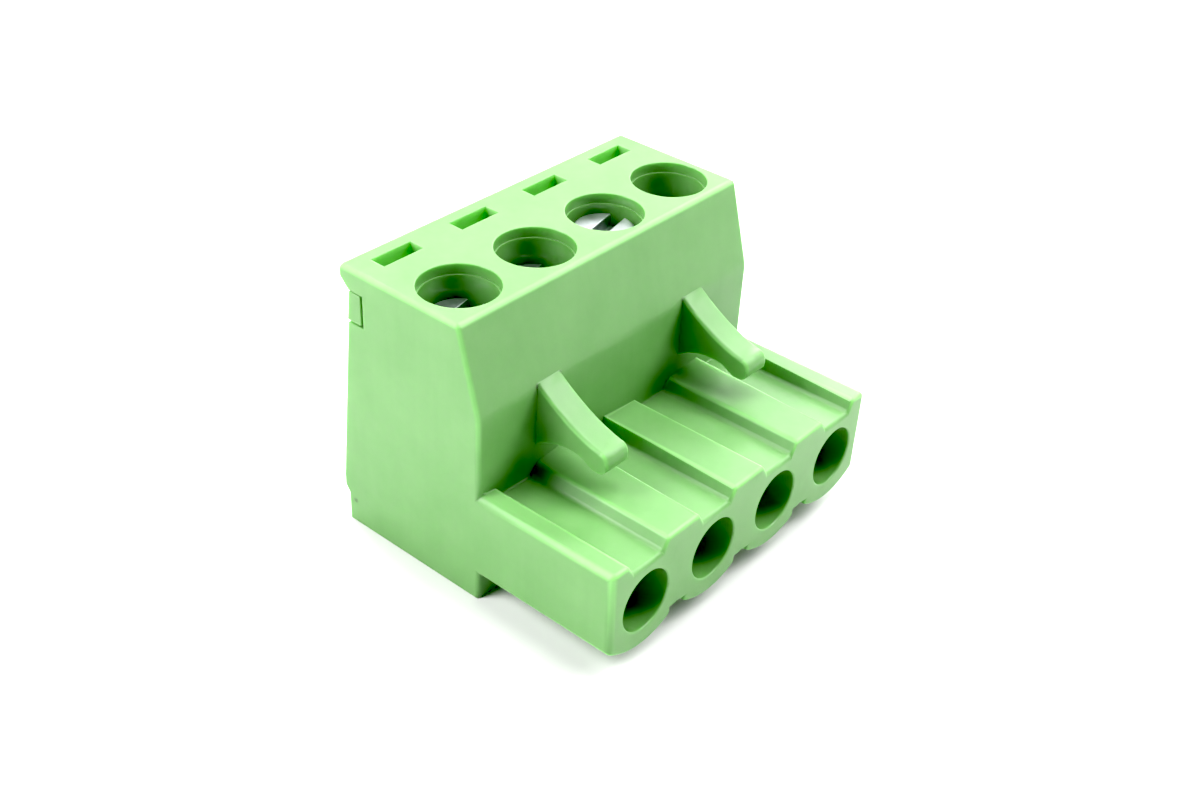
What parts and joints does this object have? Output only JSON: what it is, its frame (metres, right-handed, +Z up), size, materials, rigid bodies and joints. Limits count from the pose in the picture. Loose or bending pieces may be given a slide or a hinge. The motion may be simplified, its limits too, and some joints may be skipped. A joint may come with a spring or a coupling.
{
  "type": "pluggable terminal block",
  "caption": "Pluggable screw terminal block: a ribbed plug with socket bores and latch hooks, slotted clamp screws in wells on top, and flared wire entries at the back.",
  "frame": {"origin": "middle of the bounding box at the foot, on the surface the block stands on", "axes": "+X along the row of poles, -Y the face that mates with the header, +Y the wire side, +Z up along the screws"},
  "size_m": [0.0204, 0.0176, 0.015],
  "materials": {
    "housing_green": "satin moulded polyamide",
    "cover_green": "satin moulded polyamide",
    "zinc_steel": "bright zinc plate on steel",
    "nickel_brass": "nickel plate on brass",
    "tinned_bronze": "dull tin plate on phosphor bronze"
  },
  "bodies": {
    "block": {"housing": "housing_green", "rear_cover": "cover_green", "contact_1": "tinned_bronze", "contact_2": "tinned_bronze", "contact_3": "tinned_bronze", "contact_4": "tinned_bronze"},
    "screw_1": {"clamp_screw_1": "zinc_steel"},
    "cage_1": {"clamp_cage_1": "nickel_brass"},
    "screw_2": {"clamp_screw_2": "zinc_steel"},
    "cage_2": {"clamp_cage_2": "nickel_brass"},
    "screw_3": {"clamp_screw_3": "zinc_steel"},
    "cage_3": {"clamp_cage_3": "nickel_brass"},
    "screw_4": {"clamp_screw_4": "zinc_steel"},
    "cage_4": {"clamp_cage_4": "nickel_brass"}
  },
  "joints": [
    {"name": "screw_1_turn", "type": "hinge", "parent": "block", "child": "screw_1", "pos_m": [-0.00762, 0.00309, 0.0125], "axis": [0, 0, -1], "range_deg": [0, 2160]},
    {"name": "cage_1_rise", "type": "slide", "parent": "block", "child": "cage_1", "axis": [0, 0, 1], "range_m": [0, 0.003]},
    {"name": "screw_2_turn", "type": "hinge", "parent": "block", "child": "screw_2", "pos_m": [-0.00254, 0.00309, 0.0125], "axis": [0, 0, -1], "range_deg": [0, 2160]},
    {"name": "cage_2_rise", "type": "slide", "parent": "block", "child": "cage_2", "axis": [0, 0, 1], "range_m": [0, 0.003]},
    {"name": "screw_3_turn", "type": "hinge", "parent": "block", "child": "screw_3", "pos_m": [0.00254, 0.00309, 0.0125], "axis": [0, 0, -1], "range_deg": [0, 2160]},
    {"name": "cage_3_rise", "type": "slide", "parent": "block", "child": "cage_3", "axis": [0, 0, 1], "range_m": [0, 0.003]},
    {"name": "screw_4_turn", "type": "hinge", "parent": "block", "child": "screw_4", "pos_m": [0.00762, 0.00309, 0.0125], "axis": [0, 0, -1], "range_deg": [0, 2160]},
    {"name": "cage_4_rise", "type": "slide", "parent": "block", "child": "cage_4", "axis": [0, 0, 1], "range_m": [0, 0.003]}
  ],
  "couplings": [
    {"joint": "screw_1_turn", "follows": "cage_1_rise", "rad_per_m": 12566},
    {"joint": "screw_2_turn", "follows": "cage_2_rise", "rad_per_m": 12566},
    {"joint": "screw_3_turn", "follows": "cage_3_rise", "rad_per_m": 12566},
    {"joint": "screw_4_turn", "follows": "cage_4_rise", "rad_per_m": 12566}
  ]
}
